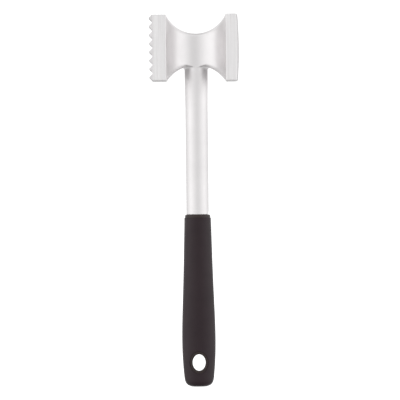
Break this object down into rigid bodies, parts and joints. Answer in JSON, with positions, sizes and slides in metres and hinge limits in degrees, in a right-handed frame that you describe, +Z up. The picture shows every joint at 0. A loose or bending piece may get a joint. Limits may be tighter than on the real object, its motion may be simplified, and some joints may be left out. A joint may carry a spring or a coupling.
{
  "type": "meat mallet",
  "caption": "Two-faced meat mallet: cast aluminium head and shaft, one toothed and one smooth face, soft black grip with an oval hanging eye.",
  "frame": {"origin": "flat land of the butt, on the axis of the shaft", "axes": "+Z up the shaft from the butt to the head, -X out of the toothed face, +X out of the smooth face"},
  "size_m": [0.071, 0.0524, 0.293],
  "materials": {
    "cast_aluminium": "fine bead-blasted satin",
    "core_plastic": "moulded, low sheen",
    "soft_grip": "soft-touch matt",
    "pin_steel": "plain rolled spring steel"
  },
  "bodies": {
    "root": {"mallet_casting": "cast_aluminium", "handle_core": "core_plastic", "grip_sleeve": "soft_grip", "tang_pin": "pin_steel"}
  },
  "joints": []
}
